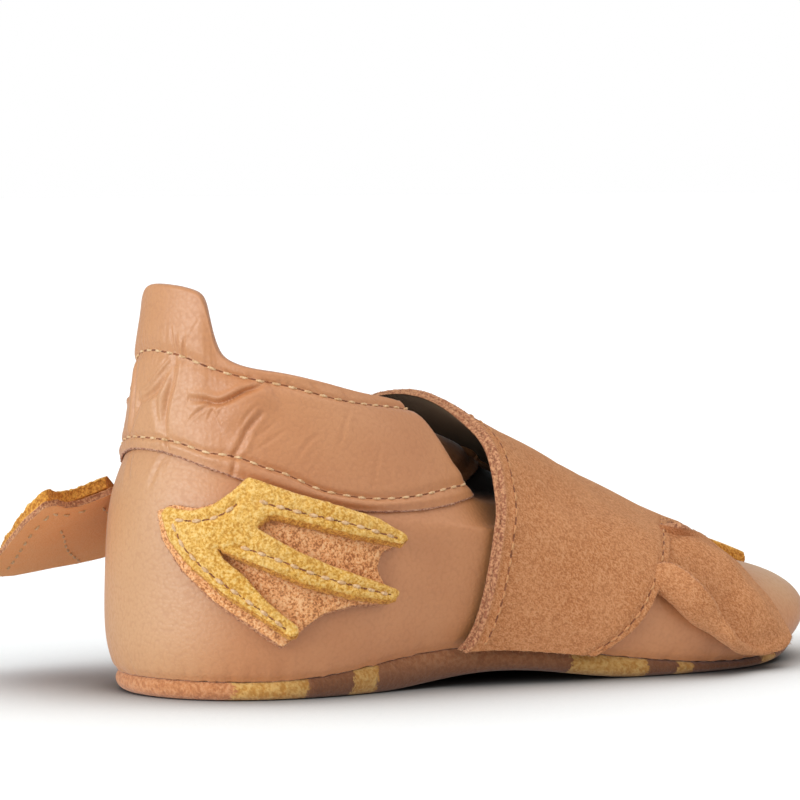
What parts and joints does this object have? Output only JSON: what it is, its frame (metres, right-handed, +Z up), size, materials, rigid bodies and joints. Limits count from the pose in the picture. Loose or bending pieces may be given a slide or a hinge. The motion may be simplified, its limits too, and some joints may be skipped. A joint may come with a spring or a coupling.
{
  "type": "soft-sole baby shoe",
  "caption": "Soft-sole leather baby shoe for a left foot: low tan upper with gathered collar band and heel tab, suede instep strap, curled toe flap and yellow-ribbed wing leaves.",
  "frame": {"origin": "bottom centre of the shoe's box, on the floor plane", "axes": "+X from heel to toe, +Y to the left (outer side of the foot), +Z up"},
  "size_m": [0.143, 0.0734, 0.065],
  "materials": {
    "tan_leather": "smooth grain leather, soft sheen",
    "tan_suede": "matt brushed suede",
    "yellow_suede": "matt brushed suede",
    "sole_suede": "matt brushed suede with plain yellow printed bars",
    "insole_felt": "matt"
  },
  "bodies": {
    "root": {"sole": "sole_suede", "insole": "insole_felt", "upper": "tan_leather", "collar_band": "tan_leather", "instep_strap": "tan_suede", "toe_flap": "tan_suede", "toe_horn": "yellow_suede", "wing_membrane_near": "tan_suede", "wing_ribs_near": "yellow_suede", "wing_membrane_far": "tan_suede", "wing_ribs_far": "yellow_suede"}
  },
  "joints": []
}
